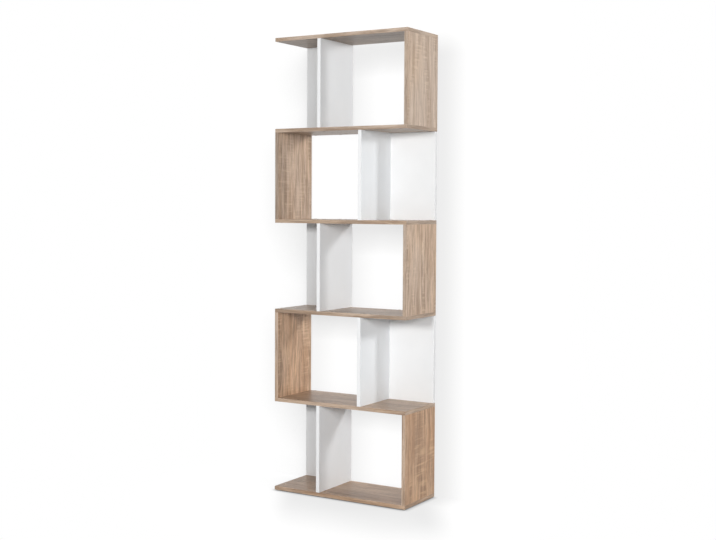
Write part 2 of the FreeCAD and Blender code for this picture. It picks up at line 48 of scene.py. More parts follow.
WARM_TINT = (1.0, 0.945, 0.875, 1)

# The marks of the print: how many there are to the metre along and across the grain, how detailed and
# rough their noise is, and at which of its values a mark is faint and full.
OAK_MARKS = {
    "drift": {"along": 2.0, "across": 6.0, "detail": 2, "roughness": 0.5},
    "bands": {"along": 2.6, "across": 46.0, "detail": 5, "roughness": 0.66, "faint": 0.38, "full": 0.62},
    "hearts": {"along": 2.4, "across": 13.0, "detail": 2, "roughness": 0.5, "faint": 0.56, "full": 0.68},
    "tan": {"along": 2.6, "across": 5.0, "detail": 2, "roughness": 0.5, "faint": 0.40, "full": 0.62},
    "gilding": {"along": 6.5, "across": 63.0, "detail": 2, "roughness": 0.5, "faint": 0.53, "full": 0.68},
    "lines": {"along": 7.0, "across": 98.0, "detail": 3, "roughness": 0.6, "faint": 0.48, "full": 0.66},
    "streaks": {"along": 13.0, "across": 190.0, "detail": 4, "roughness": 0.6, "faint": 0.48, "full": 0.68},
    "fibres": {"along": 14.0, "across": 620.0, "detail": 2, "roughness": 0.5, "faint": 0.45, "full": 0.75},
    "pores": {"along": 38.0, "across": 1150.0, "detail": 1, "roughness": 0.5, "faint": 0.60, "full": 0.72},
    "patches": {"along": 4.5, "across": 16.0, "detail": 3, "roughness": 0.5, "faint": 0.47, "full": 0.66},
    "rungs": {"along": 125.0, "across": 11.0, "detail": 3, "roughness": 0.45, "faint": 0.50, "full": 0.66},
}
NOISE_MIDDLE, GRAIN_SWAY = (0.5, 0.5, 0.5), (0.0, 0.022, 0.022)
HEART_SHARE, FIBRE_SHARE, PORE_SHARE = 0.6, 0.35, 0.45
SCORED_FULL, SCORED_SHARE = 0.34, 0.4
FIBRE_DENT = 0.6
PRINT_TOOTH, PRINT_ROUGHNESS = (0.3, 1.2), (0.36, 0.50)
PRINT_BUMP = {"Strength": 0.35, "Distance": 0.00012}

# The wear on the arrises of a board and of its edging: how wide it is, in metres, and how much it shows.
# It is broken into spots by a noise: its marks to the metre along each axis, its detail and its roughness.
BOARD_RUB, EDGING_RUB = (0.002, 0.3), (0.0012, 0.4)
RUB_SPOTS, RUB_GAPS = ((90.0, 90.0, 90.0), 4, 0.7), (0.40, 0.62)
RUB_ROUGHENS = 0.2

# The numbers of sockets: a noise's two outputs, and a mix's two inputs and its output for each kind.
VALUE, COLOUR = 0, 1
MIX_SOCKETS = {"VECTOR": (4, 5, 1), "RGBA": (6, 7, 2)}
GRAIN_AXES = {"X": "XYZ", "Y": "YXZ", "Z": "ZYX"}
HALF_TURNED = 0.5
UNCUT = (0.0, 0.0, 0.0)


def add_node(tree, kind, feeds=None, **settings):
    """A shader node. Each feed is a value for one of its sockets or the output that is linked to it."""
    node = tree.nodes.new(kind)
    for name, value in settings.items():
        setattr(node, name, value)
    for name, value in (feeds or {}).items():
        if isinstance(value, bpy.types.NodeSocket):
            tree.links.new(value, node.inputs[name])
        else:
            node.inputs[name].default_value = value
    return node


def group_node(tree, group, feeds):
    return add_node(tree, "ShaderNodeGroup", feeds, node_tree=group).outputs


def new_group(name, inputs, outputs):
    """An empty shader node group with its named sockets, and the nodes at its two ends."""
    tree = bpy.data.node_groups.new(name, "ShaderNodeTree")
    for label, kind in inputs.items():
        tree.interface.new_socket(label, in_out="INPUT", socket_type="NodeSocket" + kind)
    for label, kind in outputs.items():
        tree.interface.new_socket(label, in_out="OUTPUT", socket_type="NodeSocket" + kind)
    return tree, tree.nodes.new("NodeGroupInput").outputs, tree.nodes.new("NodeGroupOutput").inputs


def math_node(tree, operation, first, second):
    return add_node(tree, "ShaderNodeMath", {0: first, 1: second}, operation=operation).outputs[0]


def times(tree, first, second):
    return math_node(tree, "MULTIPLY", first, second)


def vector_node(tree, operation, first, second=None):
    """One step of reckoning with vectors. A length comes out as a single value."""
    feeds = {0: first} if second is None else {0: first, 1: second}
    node = add_node(tree, "ShaderNodeVectorMath", feeds, operation=operation)
    return node.outputs["Value" if operation == "LENGTH" else "Vector"]


def split(tree, vector):
    return add_node(tree, "ShaderNodeSeparateXYZ", {0: vector}).outputs


def mix(tree, share, first, second, kind="RGBA", blend="MIX"):
    """The second of two colours, or of two vectors, laid over the first by a share."""
    under, over, mixed = MIX_SOCKETS[kind]
    feeds = {"Factor": share, under: first, over: second}
    return add_node(tree, "ShaderNodeMix", feeds, data_type=kind, blend_type=blend).outputs[mixed]


def ramp(tree, value, low, high, to_low=0.0, to_high=1.0):
    """A value spread from one range to another with soft ends."""
    return add_node(tree, "ShaderNodeMapRange", {
        "Value": value, "From Min": low, "From Max": high, "To Min": to_low, "To Max": to_high,
    }, interpolation_type="SMOOTHSTEP").outputs["Result"]


def noise(tree, place, scale, detail, roughness, output=VALUE):
    """Noise that is stretched by its own scale along each axis."""
    return add_node(tree, "ShaderNodeTexNoise", {
        "Vector": vector_node(tree, "MULTIPLY", place, scale), "Scale": 1.0,
        "Detail": detail, "Roughness": roughness}).outputs[output]


def make_oak_print():
    """Printed sawn oak. The grain runs along X of the place that is fed in, in metres."""
    tree, given, put = new_group(
        "oak_print",
        {"Place": "Vector", "Pale": "Color", "Brown": "Color", "Vein": "Color", "Gold": "Color",
         "Figure": "Float", "Saw marks": "Float"},
        {"Color": "Color", "Roughness": "Float", "Height": "Float"})

    def strewn(name, place, output=VALUE):
        mark = OAK_MARKS[name]
        scale = (mark["along"], mark["across"], mark["across"])
        return noise(tree, place, scale, mark["detail"], mark["roughness"], output)

    def marked(name, value, share=1.0):
        return ramp(tree, value, OAK_MARKS[name]["faint"], OAK_MARKS[name]["full"], 0.0, share)

    drift = vector_node(tree, "SUBTRACT", strewn("drift", given["Place"], COLOUR), NOISE_MIDDLE)
    grain = vector_node(tree, "ADD", given["Place"], vector_node(tree, "MULTIPLY", drift, GRAIN_SWAY))
    hearts, pores, patches, bands, tan, lines, streaks = (
        marked(name, strewn(name, grain))
        for name in ("hearts", "pores", "patches", "bands", "tan", "lines", "streaks"))
    gilding = marked("gilding", strewn("gilding", grain, COLOUR))
    fibres = strewn("fibres", grain)
    rungs = strewn("rungs", given["Place"])
    ladders = times(tree, math_node(tree, "MAXIMUM", patches, hearts), given["Saw marks"])
    sawn = times(tree, ladders, marked("rungs", rungs))
    scored = times(tree, ladders, ramp(
        tree, rungs, OAK_MARKS["rungs"]["faint"], SCORED_FULL, 0.0, SCORED_SHARE))

    tone = mix(tree, bands, given["Brown"], given["Pale"])
    tone = mix(tree, times(tree, gilding, given["Figure"]), tone, given["Gold"])
    tone = mix(tree, tan, tone, WARM_TINT, blend="MULTIPLY")
    for share, colour in (
            (times(tree, hearts, times(tree, given["Figure"], HEART_SHARE)), "Vein"),
            (times(tree, lines, given["Figure"]), "Vein"),
            (times(tree, streaks, given["Figure"]), "Vein"),
            (marked("fibres", fibres, FIBRE_SHARE), "Brown"),
            (times(tree, pores, PORE_SHARE), "Vein"),
            (scored, "Vein"),
            (sawn, "Gold")):
        tone = mix(tree, share, tone, given[colour])
    tree.links.new(tone, put["Color"])
    dents = math_node(tree, "ADD", pores, times(tree, fibres, FIBRE_DENT))
    tree.links.new(math_node(tree, "SUBTRACT", sawn, dents), put["Height"])
    tooth = math_node(tree, "ADD", fibres, pores)
    tree.links.new(ramp(tree, tooth, *PRINT_TOOTH, *PRINT_ROUGHNESS), put["Roughness"])
    return tree


def make_edge_rub():
    """A mask of the arrises of a box, broken up by noise, for rubbed corners and edges."""
    tree, given, put = new_group(
        "edge_rub",
        {"Place": "Vector", "Middle": "Vector", "Half size": "Vector", "Width": "Float"},
        {"Mask": "Float"})
    off = vector_node(tree, "ABSOLUTE", vector_node(tree, "SUBTRACT", given["Place"], given["Middle"]))
    depth = split(tree, vector_node(tree, "SUBTRACT", given["Half size"], off))
    nearer = math_node(tree, "MINIMUM", depth["X"], depth["Y"])
    farther = math_node(tree, "MAXIMUM", depth["X"], depth["Y"])
    second = math_node(tree, "MAXIMUM", nearer, math_node(tree, "MINIMUM", farther, depth["Z"]))
    near = math_node(tree, "SUBTRACT", 1.0, math_node(tree, "DIVIDE", second, given["Width"]))
    broken = ramp(tree, noise(tree, given["Place"], *RUB_SPOTS), *RUB_GAPS)
    tree.links.new(times(tree, math_node(tree, "MAXIMUM", near, 0.0), broken), put["Mask"])
    return tree


OAK_PRINT = make_oak_print()
EDGE_RUB = make_edge_rub()


def new_material(name):
    material = bpy.data.materials.new(name)
    material.use_nodes = True
    tree = material.node_tree
    return material, tree, tree.nodes["Principled BSDF"].inputs


def object_place(tree):
    """The place on the object, in metres."""
    return add_node(tree, "ShaderNodeTexCoord").outputs["Object"]


def join_surface(tree, shader, colour, roughness, height, bump):
    """Feeds a material's shader its colour and roughness, and its texture as a bump."""
    tree.links.new(colour, shader["Base Color"])
    tree.links.new(roughness, shader["Roughness"])
    raised = add_node(tree, "ShaderNodeBump", {"Height": height, **bump})
    tree.links.new(raised.outputs["Normal"], shader["Normal"])


def dress(nodes, material):
    for node in nodes:
        for material_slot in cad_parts[node].material_slots:
            material_slot.material = material


def oak_colours(warmth, depth):
    """The four colours of the print, from greyish to brown and from pale to deep."""
    mixed = {name: Vector(GREY_OAK[name]).lerp(Vector(WARM_OAK[name]), warmth) for name in GREY_OAK}
    return {name: (*(colour.xyz * depth), 1) for name, colour in mixed.items()}


def turn_grain(tree, parts, along):
    """The place turned so that its X runs along another axis."""
    feeds = {n: parts[axis] for n, axis in enumerate(GRAIN_AXES[along])}
    return add_node(tree, "ShaderNodeCombineXYZ", feeds).outputs[0]


def grain_place(tree, place, along, cut=UNCUT):
    """The place on the printed sheet that the piece was cut from, with its X along the grain. The grain goes
    along one axis, or round the board on its edging."""
    parts = split(tree, place)
    if along == "round":
        sideways = split(tree, add_node(tree, "ShaderNodeNewGeometry").outputs["True Normal"])["X"]
        at_end = math_node(tree, "GREATER_THAN", times(tree, sideways, sideways), HALF_TURNED)
        on_front, on_end = turn_grain(tree, parts, "X"), turn_grain(tree, parts, "Y")
        grain = mix(tree, at_end, on_front, on_end, kind="VECTOR")
    else:
        grain = turn_grain(tree, parts, along)
    return vector_node(tree, "ADD", grain, cut)


def rubbed_edges(tree, place, node, rub):
    """How far the arrises of one piece are rubbed."""
    low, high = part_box(node)
    width, share = rub
    mask = group_node(tree, EDGE_RUB, {
        "Place": place, "Middle": (low + high) / 2, "Half size": (high - low) / 2, "Width": width})["Mask"]
    return times(tree, mask, share)


def oak_finish(node, along, warmth, depth, figure, saw_marks, rub, sheen, cut=UNCUT):
    """Melamine with the oak print on one piece, a little paler and rougher where its arrises are rubbed."""
    material, tree, shader = new_material(node + "_oak")
    place = object_place(tree)
    colours = oak_colours(warmth, depth)
    printed = group_node(tree, OAK_PRINT, {
        "Place": grain_place(tree, place, along, cut), "Figure": figure, "Saw marks": saw_marks, **colours})
    rubbed = rubbed_edges(tree, place, node, rub)
    colour = mix(tree, rubbed, printed["Color"], colours["Pale"])
    roughness = math_node(tree, "ADD", printed["Roughness"], times(tree, rubbed, RUB_ROUGHENS))
    shader["Specular IOR Level"].default_value = sheen
    join_surface(tree, shader, colour, roughness, printed["Height"], PRINT_BUMP)
    dress([node], material)


BOARD_WARMTH = (0.75, 0.55, 0.35, 0.35, 0.25, 0.25)
# The boards' print is written deeper than the side panels', as painted shade on faces that lie under the board
# above, and the top board's is deepest, as painted shade on its underside.
BOARD_DEPTH_WITH_PAINTED_SHADE = (0.74, 0.77, 0.76, 0.80, 0.78, 0.57)
BOARD_SHEEN = (0.50, 0.55, 0.45, 0.50, 0.40, 0.20)
BOARD_CUT = (
    (6.994, 3.97, 6.172), (3.015, 12.91, 5.094), (1.936, 11.36, 1.333),
    (6.057, 2.65, 0.511), (8.343, 3.72, 1.793), (9.342, 12.34, 2.236))
BOARD_FIGURE, BOARD_SAW_MARKS = 0.55, 0.35
for board, warmth, depth, sheen, cut in zip(BOARDS, BOARD_WARMTH, BOARD_DEPTH_WITH_PAINTED_SHADE, BOARD_SHEEN, BOARD_CUT):
    oak_finish(board, "X", warmth, depth, BOARD_FIGURE, BOARD_SAW_MARKS, BOARD_RUB, sheen, cut)

# The boards' edging: 1 mm plastic strip in the same oak print, glued round all four edges and trimmed
# flush, with its arrises rounded over. The printed lines run along the strip.
BOARD_EDGE_WARMTH = (0.50, 0.30, 0.20, 0.15, 0.15, 0.15)
BOARD_EDGE_DEPTH = (0.88, 0.86, 0.84, 0.84, 0.90, 0.88)
EDGE_FIGURE, EDGE_SAW_MARKS = 0.4, 0.0
PLAIN_SHEEN = 0.38
for board, warmth, depth in zip(BOARDS, BOARD_EDGE_WARMTH, BOARD_EDGE_DEPTH):
    oak_finish(board + "_edging", "round", warmth, depth,
               EDGE_FIGURE, EDGE_SAW_MARKS, EDGING_RUB, PLAIN_SHEEN)

# The five side panels: the same faced board with its grain upright, one to a tier, right and left in
# turn. Each stands between two boards, flush with their ends, and is edged down its front and rear.
TIERS = (1, 2, 3, 4, 5)
SIDE_WARMTH = {1: 0.95, 2: 0.65, 3: 0.35, 4: 0.30, 5: 0.15}
# The print's depth differs from tier to tier. It is palest on tiers 2 and 4, whose inner faces are seen in
# shade: painted light that lifts that shade.
SIDE_DEPTH_AND_PAINTED_LIGHT = {1: 1.04, 2: 1.15, 3: 1.04, 4: 1.065, 5: 1.03}
SIDE_FIGURE = {1: 0.48, 2: 0.62, 3: 0.50, 4: 0.50, 5: 0.28}
SIDE_SAW_MARKS = {1: 0.38, 2: 0.34, 3: 0.38, 4: 0.28, 5: 0.40}
SIDE_CUT = {
    1: (6.106, 10.64, 5.271), 2: (5.935, 9.13, 0.893), 3: (9.492, 3.72, 4.351),
    4: (0.755, 11.86, 3.097), 5: (4.321, 11.75, 1.243)}
SIDE_EDGE_WARMTH = {1: 0.40, 2: 0.15, 3: 0.10, 4: 0.10, 5: 0.0}
SIDE_EDGE_DEPTH = {1: 0.88, 2: 1.05, 3: 0.82, 4: 0.65, 5: 0.85}
for tier in TIERS:
    panel = f"side_panel_{tier}"
    oak_finish(panel, "Z", SIDE_WARMTH[tier], SIDE_DEPTH_AND_PAINTED_LIGHT[tier], SIDE_FIGURE[tier], SIDE_SAW_MARKS[tier],
               BOARD_RUB, PLAIN_SHEEN, SIDE_CUT[tier])
    oak_finish(panel + "_edging", "Z", SIDE_EDGE_WARMTH[tier], SIDE_EDGE_DEPTH[tier],
               EDGE_FIGURE, EDGE_SAW_MARKS, EDGING_RUB, PLAIN_SHEEN)

# The five dividers: the same 15 mm board faced in white melamine with a fine pearl texture, edged in
# white down the front and rear. Each stands from front to rear and closes the open bay of its tier.
# The dividers' white is cooler than their edging's, as painted light: it cancels the warm light bounced onto
# their faces from the oak.
DIVIDER_WHITE_COOLED_AGAINST_BOUNCE = (0.828, 0.853, 0.874)
DIVIDER_EDGE_WHITE = (0.848, 0.855, 0.861)
WHITE_CLOUDS = 0.977
RUBBED_WHITE = (0.74, 0.73, 0.71, 1)
PAPER_CLOUDS = ((9.0, 9.0, 9.0), 3, 0.5)
PEARLS = ((620.0, 620.0, 620.0), 1, 0.5)
SMEARS = ((22.0, 22.0, 5.0), 4, 0.65)
NOISE_SPAN = (0.3, 0.7)
PEARL_ROUGHNESS = (0.30, 0.42)
PEARL_BUMP = {"Strength": 0.2, "Distance": 0.0001}
FACE_OUTPUTS = {"Tone": "Float", "Roughness": "Float", "Height": "Float"}


def make_pearl_face():
    """White melamine: the pressed pearl texture, and the faint unevenness of the paper under it."""
    tree, given, put = new_group("pearl_face", {"Place": "Vector"}, FACE_OUTPUTS)
    clouds = noise(tree, given["Place"], *PAPER_CLOUDS)
    pearls = noise(tree, given["Place"], *PEARLS)
    smears = noise(tree, given["Place"], *SMEARS)
    tree.links.new(ramp(tree, clouds, *NOISE_SPAN), put["Tone"])
    tree.links.new(ramp(tree, smears, *NOISE_SPAN, *PEARL_ROUGHNESS), put["Roughness"])
    tree.links.new(pearls, put["Height"])
    return tree


PEARL_FACE = make_pearl_face()


def white_finish(node, white, rub):
    """White melamine on one piece, greyed a little where its arrises are rubbed."""
    material, tree, shader = new_material(node + "_white")
    place = object_place(tree)
    face = group_node(tree, PEARL_FACE, {"Place": place})
    clouded = Vector(white) * WHITE_CLOUDS
    colour = mix(tree, face["Tone"], (*clouded, 1), (*white, 1))
    colour = mix(tree, rubbed_edges(tree, place, node, rub), colour, RUBBED_WHITE)
    join_surface(tree, shader, colour, face["Roughness"], face["Height"], PEARL_BUMP)
    dress([node], material)


for tier in TIERS:
    white_finish(f"divider_{tier}", DIVIDER_WHITE_COOLED_AGAINST_BOUNCE, BOARD_RUB)
    white_finish(f"divider_{tier}_edging", DIVIDER_EDGE_WHITE, EDGING_RUB)

# The five back panels: white faced board, set flush with the rear edges between the divider and the
# boards' ends, where it stiffens the tier. Its outer upright edge carries the same white strip.
# The backs of tiers 1, 3 and 5 are written paler, as painted light in their shaded left recesses, and those of
# tiers 2 and 4 greyer, as painted shade where they stand well lit.
LEFT_BACK_WHITE_PAINTED_LIGHT, RIGHT_BACK_WHITE_PAINTED_SHADE = (0.852, 0.859, 0.864), (0.808, 0.816, 0.822)
for tier in TIERS:
    back_white_painted_light_and_shade = LEFT_BACK_WHITE_PAINTED_LIGHT if tier % 2 else RIGHT_BACK_WHITE_PAINTED_SHADE
    white_finish(f"back_panel_{tier}", back_white_painted_light_and_shade, BOARD_RUB)
    white_finish(f"back_panel_{tier}_edging", back_white_painted_light_and_shade, EDGING_RUB)

# The connecting screws: zinc-plated steel with a countersunk head and a hexagon socket, driven through
# the boards into the ends of the uprights. The plating is bright, with faint scuffs and a bluish cast.
ZINC = (0.60, 0.61, 0.63, 1)
DULL_ZINC = (0.42, 0.43, 0.45, 1)
PLATING_CLOUDS = ((160.0, 160.0, 160.0), 4, 0.6)
PLATING_SCUFFS = ((900.0, 900.0, 130.0), 3, 0.6)
SCUFF_SPAN, ZINC_ROUGHNESS = (0.7, 1.3), (0.26, 0.46)
SCUFF_BUMP = {"Strength": 0.15, "Distance": 0.00005}
UPRIGHTS = ("side_panel", "divider", "back_panel")


def make_metal_scuffs():
    """Plated steel: cloudy plating and fine scuffs."""
    tree, given, put = new_group("metal_scuffs", {"Place": "Vector"}, FACE_OUTPUTS)
    clouds = noise(tree, given["Place"], *PLATING_CLOUDS)
    scuffs = noise(tree, given["Place"], *PLATING_SCUFFS)
    tree.links.new(ramp(tree, clouds, *NOISE_SPAN), put["Tone"])
    scuffed = math_node(tree, "ADD", clouds, scuffs)
    tree.links.new(ramp(tree, scuffed, *SCUFF_SPAN, *ZINC_ROUGHNESS), put["Roughness"])
    tree.links.new(scuffs, put["Height"])
    return tree


METAL_SCUFFS = make_metal_scuffs()


def zinc_finish(name, nodes):
    material, tree, shader = new_material(name)
    plated = group_node(tree, METAL_SCUFFS, {"Place": object_place(tree)})
    shader["Metallic"].default_value = 1.0
    colour = mix(tree, plated["Tone"], DULL_ZINC, ZINC)
    join_surface(tree, shader, colour, plated["Roughness"], plated["Height"], SCUFF_BUMP)
    dress(nodes, material)


zinc_finish("zinc_screws", [f"{upright}_screws" for upright in UPRIGHTS])

# The screw caps: small discs of oak-coloured plastic, matt and finely grained from the mould, pressed
# into the screws' sockets so that the heads don't show on the boards.
CAP_OAK = (0.41, 0.325, 0.26, 1)
CAP_OAK_DARK = (0.34, 0.265, 0.21, 1)
SPARK_GRAIN = ((1800.0, 1800.0, 1800.0), 2, 0.5)
MOULD_CLOUDS = ((130.0, 130.0, 130.0), 2, 0.5)
MOULDED_ROUGHNESS = (0.50, 0.62)
MOULDED_BUMP = {"Strength": 0.25, "Distance": 0.00008}


def make_moulded_grain():
    """Moulded plastic: a fine spark-eroded grain and slow shifts of tone."""
    tree, given, put = new_group("moulded_grain", {"Place": "Vector"}, FACE_OUTPUTS)
    grain = noise(tree, given["Place"], *SPARK_GRAIN)
    clouds = noise(tree, given["Place"], *MOULD_CLOUDS)
    tree.links.new(ramp(tree, clouds, *NOISE_SPAN), put["Tone"])
    tree.links.new(ramp(tree, grain, *NOISE_SPAN, *MOULDED_ROUGHNESS), put["Roughness"])
    tree.links.new(grain, put["Height"])
    return tree


MOULDED_GRAIN = make_moulded_grain()


def plastic_finish(name, dark, light, nodes):
    material, tree, shader = new_material(name)
    moulded = group_node(tree, MOULDED_GRAIN, {"Place": object_place(tree)})
    colour = mix(tree, moulded["Tone"], dark, light)
    join_surface(tree, shader, colour, moulded["Roughness"], moulded["Height"], MOULDED_BUMP)
    dress(nodes, material)


plastic_finish("oak_caps", CAP_OAK_DARK, CAP_OAK, [f"{upright}_screw_caps" for upright in UPRIGHTS])

# The dowels: 8 mm turned beech pegs with chamfered ends, glued half into a board's face and half into
# an upright's end. They only line the pieces up and are hidden in the finished bookcase.
BEECH = {
    "Pale": (0.70, 0.52, 0.34, 1), "Brown": (0.60, 0.42, 0.26, 1),
    "Vein": (0.42, 0.26, 0.15, 1), "Gold": (0.72, 0.55, 0.36, 1)}
BEECH_FIGURE, BEECH_SAW_MARKS = 0.3, 0.0
BEECH_BUMP = {"Strength": 0.4, "Distance": 0.0001}


def beech_finish(name, along, nodes):
    material, tree, shader = new_material(name)
    grained = group_node(tree, OAK_PRINT, {
        "Place": grain_place(tree, object_place(tree), along),
        "Figure": BEECH_FIGURE, "Saw marks": BEECH_SAW_MARKS, **BEECH})
    join_surface(tree, shader, grained["Color"], grained["Roughness"], grained["Height"], BEECH_BUMP)
    dress(nodes, material)


beech_finish("upright_dowels_beech", "Z", [f"{upright}_dowels" for upright in UPRIGHTS])
beech_finish("divider_dowels_beech", "X", ["back_to_divider_dowels"])

# The floor glides: four dark brown plastic buttons, moulded with a bevelled rim and a pin that is
# knocked into the underside of the bottom board.
GLIDE_BROWN = (0.075, 0.060, 0.048, 1)
GLIDE_BROWN_LIGHT = (0.105, 0.085, 0.068, 1)
plastic_finish("glide_plastic", GLIDE_BROWN, GLIDE_BROWN_LIGHT, ["floor_glides"])

# The wall brackets and their screws: two angles folded from zinc-plated sheet, screwed down on the top
# board at its rear, with a hole in the upright leg for a screw into the wall.
zinc_finish("zinc_brackets", ["wall_brackets", "bracket_screws"])

# The studio: a white floor and a white wall close behind, on both of which a soft shade of the bookcase is
# painted.
# Each is clear from its far side, and the wall only shows: it neither lights the bookcase nor is mirrored.
ROOM_HALF_WIDTH = 9.0
WALL_GAP = 0.012
WALL_HEIGHT = 8.0
FLOOR_REACH = 9.0
STUDIO_WHITE = (1.0, 1.0, 1.0, 1)
FULL_WHITE = 1.0
GLOW, LIT = 0.96, (0.06, 0.06, 0.06, 1)
FLOOR_BOUNCE = (0.31, 0.31, 0.31, 1)

# Its painted shades: in the open bays but one, to the left of the bookcase, right under it, and a broad one to
# the right and in front. Each has its grey and how far it reaches, in metres. All fade out away from the
# bookcase.
# The broad one is painted by distance from the body, the others by how much of the bookcase is near.
BAY_SHADE, BAY_SHADE_REACH = (0.64, 0.64, 0.64, 1), 0.14
CLEAR_BAY = ("shelf_board_3", "shelf_board_4")
LEFT_SHADE, LEFT_SHADE_REACH = (0.30, 0.30, 0.30, 1), 0.29
CONTACT_SHADE, CONTACT_REACH = (0.08, 0.08, 0.08, 1), 0.022
BROAD_SHADE, BROAD_SHADE_REACH = (0.81, 0.81, 0.81, 1), 0.162
BROAD_SHADE_STRETCH = (1.0, 0.28, 1.2)
BROAD_SHADE_DROP, BROAD_SHADE_SLANT = 0.09, 0.61
BROAD_SHADE_FROM, BROAD_SHADE_WHOLE = cad_low.x - 0.06, cad_low.x + 0.12
SHADE_RAYS = 16
UP_AND_FORWARD = (0.0, -0.55, 0.84)
END_BLEND = 0.02
LEVEL = (1.0, 1.0, 0.0)
SHADE_FADES, SHADE_ENDS = 0.50, 0.95


def add_sheet(name, corners):
    mesh = bpy.data.meshes.new(name)
    mesh.from_pydata(corners, [], [tuple(range(len(corners)))])
    sheet = bpy.data.objects.new(name, mesh)
    bpy.context.scene.collection.objects.link(sheet)
    return sheet


def shade_near(tree, shade, reach, facing=None):
    """White with painted shade: greyed where the bookcase stands within reach of it, on the side that it
    faces.
    """
    feeds = {"Distance": reach}
    if facing:
        feeds["Normal"] = add_node(tree, "ShaderNodeCombineXYZ", dict(enumerate(facing))).outputs[0]
    openness = add_node(tree, "ShaderNodeAmbientOcclusion", feeds, samples=SHADE_RAYS).outputs["AO"]
    return mix(tree, openness, shade, STUDIO_WHITE)


def past_left_end(tree, place):
    return ramp(tree, split(tree, place)["X"], cad_low.x - END_BLEND, cad_low.x + END_BLEND, 1.0, 0.0)


def past_right_end(tree, place):
    return ramp(tree, split(tree, place)["X"], cad_high.x - END_BLEND, cad_high.x)


def between_boards(tree, place, under, over):
    """One at the height between two boards, and none above and below them."""
    height = split(tree, place)["Z"]
    above = ramp(tree, height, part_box(under)[0].z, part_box(under)[1].z)
    below = ramp(tree, height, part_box(over)[0].z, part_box(over)[1].z, 1.0, 0.0)
    return times(tree, above, below)


def slant_forward(tree, place, start):
    """A place moved to the left as it comes forward of the start, as far as the shade runs to the right."""
    forward = math_node(tree, "SUBTRACT", split(tree, place)["Y"], start)
    forward = math_node(tree, "MINIMUM", forward, 0.0)
    slant = add_node(tree, "ShaderNodeCombineXYZ", {"X": times(tree, forward, BROAD_SHADE_SLANT)})
    return vector_node(tree, "ADD", place, slant.outputs[0])


def off_body(tree, place):
    """How far a place is from the bookcase's body, with its top taken lower and the way forward
    counted less."""
    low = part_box("bottom_board")[0]
    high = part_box("top_board")[1] - Vector((0.0, 0.0, BROAD_SHADE_DROP))
    away = vector_node(tree, "ABSOLUTE", vector_node(tree, "SUBTRACT", place, (low + high) / 2))
    away = vector_node(tree, "SUBTRACT", away, (high - low) / 2)
    away = vector_node(tree, "MAXIMUM", away, (0.0, 0.0, 0.0))
    return vector_node(tree, "LENGTH", vector_node(tree, "MULTIPLY", away, BROAD_SHADE_STRETCH))


def wall_shade(tree, place):
    """The wall's tone behind the bays and to the left, and where the broad shade begins on it."""
    left_tone = shade_near(tree, LEFT_SHADE, LEFT_SHADE_REACH, UP_AND_FORWARD)
    bay_tone = shade_near(tree, BAY_SHADE, BAY_SHADE_REACH, UP_AND_FORWARD)
    bay_tone = mix(tree, between_boards(tree, place, *CLEAR_BAY), bay_tone, STUDIO_WHITE)
    tone = mix(tree, past_left_end(tree, place), bay_tone, left_tone)
    right = past_right_end(tree, place)
    return mix(tree, right, tone, STUDIO_WHITE), right


def floor_shade(tree, place):
    """The floor's tone under the bookcase and to the left, and where the broad shade begins on it."""
    left_tone = shade_near(tree, LEFT_SHADE, LEFT_SHADE_REACH, UP_AND_FORWARD)
    tone = shade_near(tree, CONTACT_SHADE, CONTACT_REACH)
    tone = mix(tree, past_left_end(tree, place), tone, left_tone, blend="MULTIPLY")
    across = split(tree, slant_forward(tree, place, cad_low.y))["X"]
    return tone, ramp(tree, across, BROAD_SHADE_FROM, BROAD_SHADE_WHOLE)


def studio_white(name, shade_of_sheet):
    """White with the bookcase's painted shade on it. Part of the white glows and part is lit."""
    material, tree, _ = new_material(name)
    tree.nodes.clear()
    place = object_place(tree)
    tone, begins = shade_of_sheet(tree, place)
    away = off_body(tree, slant_forward(tree, place, 0.0))
    broad = times(tree, begins, ramp(tree, away, 0.0, BROAD_SHADE_REACH, 1.0, 0.0))
    tone = mix(tree, broad, tone, BROAD_SHADE, blend="MULTIPLY")
    glowing = add_node(tree, "ShaderNodeEmission", {"Color": tone, "Strength": GLOW})
    lit = add_node(tree, "ShaderNodeBsdfDiffuse", {"Color": LIT})
    near = add_node(tree, "ShaderNodeAddShader", {0: glowing.outputs[0], 1: lit.outputs[0]})
    far = add_node(tree, "ShaderNodeEmission", {"Color": STUDIO_WHITE, "Strength": FULL_WHITE})
    from_middle = vector_node(tree, "LENGTH", vector_node(tree, "MULTIPLY", place, LEVEL))
    fade = ramp(tree, from_middle, SHADE_FADES, SHADE_ENDS)
    seen = add_node(tree, "ShaderNodeMixShader", {0: fade, 1: near.outputs[0], 2: far.outputs[0]})
    return material, tree, seen.outputs[0]


def show_one_side(material, tree, front):
    """Ends the material: the given shader on the sheet's front, and nothing to see from its far side."""
    from_behind = add_node(tree, "ShaderNodeNewGeometry").outputs["Backfacing"]
    clear = add_node(tree, "ShaderNodeBsdfTransparent").outputs[0]
    one_sided = add_node(tree, "ShaderNodeMixShader", {0: from_behind, 1: front, 2: clear})
    add_node(tree, "ShaderNodeOutputMaterial", {"Surface": one_sided.outputs[0]})
    return material


def looked_at(tree):
    """One where the camera sees the surface, straight or by a mirror or glass, and none where it
    only lights."""
    path = add_node(tree, "ShaderNodeLightPath").outputs
    mirrored = math_node(tree, "MAXIMUM", path["Is Glossy Ray"], path["Is Transmission Ray"])
    return math_node(tree, "MAXIMUM", path["Is Camera Ray"], mirrored)


wall_y = cad_high.y + WALL_GAP
wall = add_sheet("studio_wall", [
    (-ROOM_HALF_WIDTH, wall_y, 0), (ROOM_HALF_WIDTH, wall_y, 0),
    (ROOM_HALF_WIDTH, wall_y, WALL_HEIGHT), (-ROOM_HALF_WIDTH, wall_y, WALL_HEIGHT)])
material, tree, seen = studio_white("studio_wall_white", wall_shade)
wall.data.materials.append(show_one_side(material, tree, seen))
wall.visible_diffuse = False
wall.visible_glossy = False
wall.visible_shadow = False

